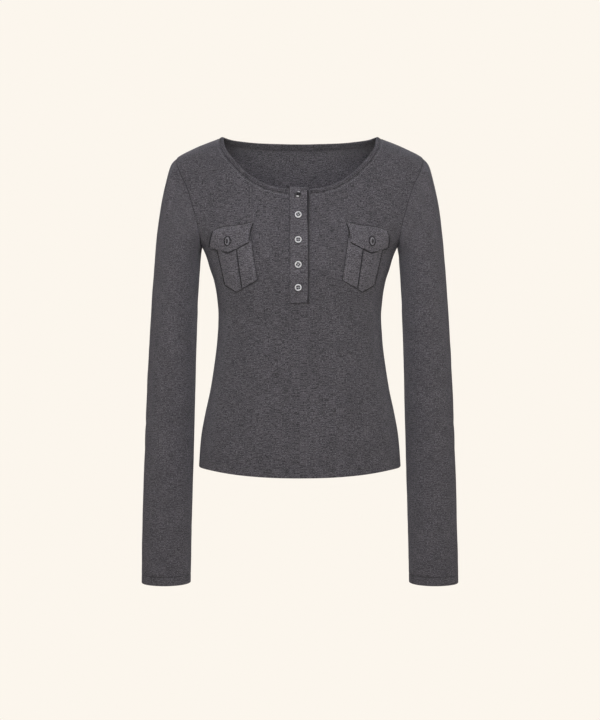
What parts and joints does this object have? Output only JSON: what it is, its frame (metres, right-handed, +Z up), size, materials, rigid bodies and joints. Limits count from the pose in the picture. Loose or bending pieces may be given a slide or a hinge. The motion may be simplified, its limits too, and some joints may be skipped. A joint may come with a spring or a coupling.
{
  "type": "long-sleeved pocket henley top",
  "caption": "Fitted long-sleeved charcoal jersey top in its worn form, with a scoop neck, a buttoned half placket and pleated flap chest pockets",
  "frame": {"origin": "Midway between the two high points of the shoulders, where the wearer carries the top", "axes": "+Z up, -Y the way the wearer faces, +X the wearer's left"},
  "size_m": [0.4692, 0.2184, 0.6547],
  "materials": {
    "jersey": "matte fine knit, charcoal heather",
    "button": "glossy smoke grey, with a raised rim"
  },
  "bodies": {
    "root": {"front": "jersey", "back": "jersey", "sleeve_left": "jersey", "sleeve_right": "jersey", "neck_binding": "jersey", "placket_over": "jersey", "placket_under": "jersey", "pocket_left": "jersey", "pocket_right": "jersey", "flap_left": "jersey", "flap_right": "jersey", "placket_button_1": "button", "placket_button_2": "button", "placket_button_3": "button", "placket_button_4": "button", "placket_button_5": "button", "pocket_button_left": "button", "pocket_button_right": "button"}
  },
  "joints": []
}
